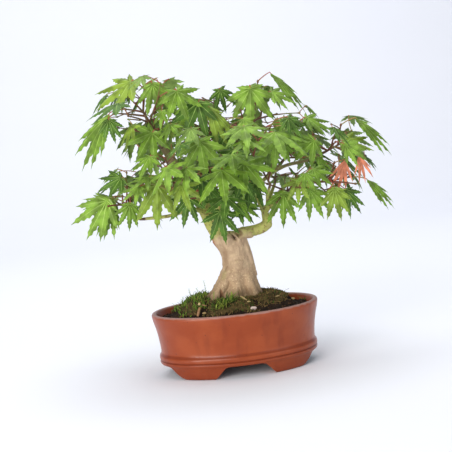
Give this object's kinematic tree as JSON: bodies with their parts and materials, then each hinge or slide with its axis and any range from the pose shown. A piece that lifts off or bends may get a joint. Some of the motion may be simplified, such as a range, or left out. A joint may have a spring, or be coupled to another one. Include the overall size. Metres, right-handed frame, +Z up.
{
  "type": "bonsai maple in an oval pot",
  "caption": "Miniature palmate-leaved tree with a thick leaning trunk and a spreading green crown, in an oval footed red-brown pot.",
  "frame": {"origin": "middle of the base of the whole plant's bounding box, on the surface that the four feet stand on", "axes": "+Z up; +X along the pot's long side, to the right as the plant is seen in the picture; +Y away from the viewer"},
  "size_m": [0.2952, 0.2212, 0.2631],
  "materials": {
    "pot": "satin red-brown glaze with a worn, paler rim",
    "soil": "dark damp potting soil",
    "moss": "soft green and brown moss",
    "bark": "dull tan bark, knobbly near the roots",
    "bough_bark": "smooth green-brown young bark",
    "leaves": "thin matt to satin green leaves on red-brown twigs"
  },
  "bodies": {
    "root": {"pot": "pot", "soil": "soil", "moss_left": "moss", "moss_front": "moss", "moss_right": "moss", "moss_back": "moss", "trunk": "bark", "bough_leader": "bough_bark", "bough_right_low": "bough_bark", "bough_right_high": "bough_bark", "bough_back": "bough_bark", "bough_centre": "bough_bark", "bough_left_low": "bough_bark", "bough_front": "bough_bark", "bough_front_left": "bough_bark", "bough_back_left": "bough_bark", "bough_back_top": "bough_bark", "bough_top": "bough_bark", "bough_right_upper": "bough_bark", "bough_far_right": "bough_bark", "bough_far_right_low": "bough_bark", "bough_back_right": "bough_bark", "bough_front_right": "bough_bark", "foliage_upper_left": "leaves", "foliage_left_low": "leaves", "foliage_far_right": "leaves", "foliage_far_right_low": "leaves", "foliage_top": "leaves", "foliage_right_low": "leaves", "foliage_right": "leaves", "foliage_centre": "leaves", "foliage_mid_left": "leaves", "foliage_front": "leaves", "foliage_front_right": "leaves", "foliage_back_left": "leaves", "foliage_back": "leaves", "foliage_back_top": "leaves", "foliage_back_right": "leaves"}
  },
  "joints": []
}
